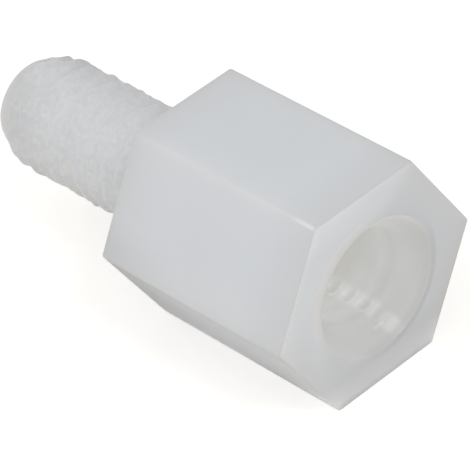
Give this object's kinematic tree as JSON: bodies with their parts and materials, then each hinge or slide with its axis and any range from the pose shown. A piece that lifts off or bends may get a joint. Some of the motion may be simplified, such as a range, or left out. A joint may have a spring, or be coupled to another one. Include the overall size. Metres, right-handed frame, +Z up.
{
  "type": "hex standoff",
  "caption": "Moulded nylon hex standoff with a threaded stud at one end and a countersunk, tapped blind hole at the other.",
  "frame": {"origin": "on the surface that the standoff lies on, half way along its whole length and under its axis", "axes": "+X along the piece's axis, out of the tapped hole's mouth, with the stud pointing along -X; +Z up, square to the flat that it lies on; +Y across the corners"},
  "size_m": [0.0118, 0.0062, 0.0054],
  "materials": {
    "nylon": "natural white nylon, milky and slightly translucent, with a soft satin gloss"
  },
  "bodies": {
    "root": {"hex_standoff": "nylon"}
  },
  "joints": []
}
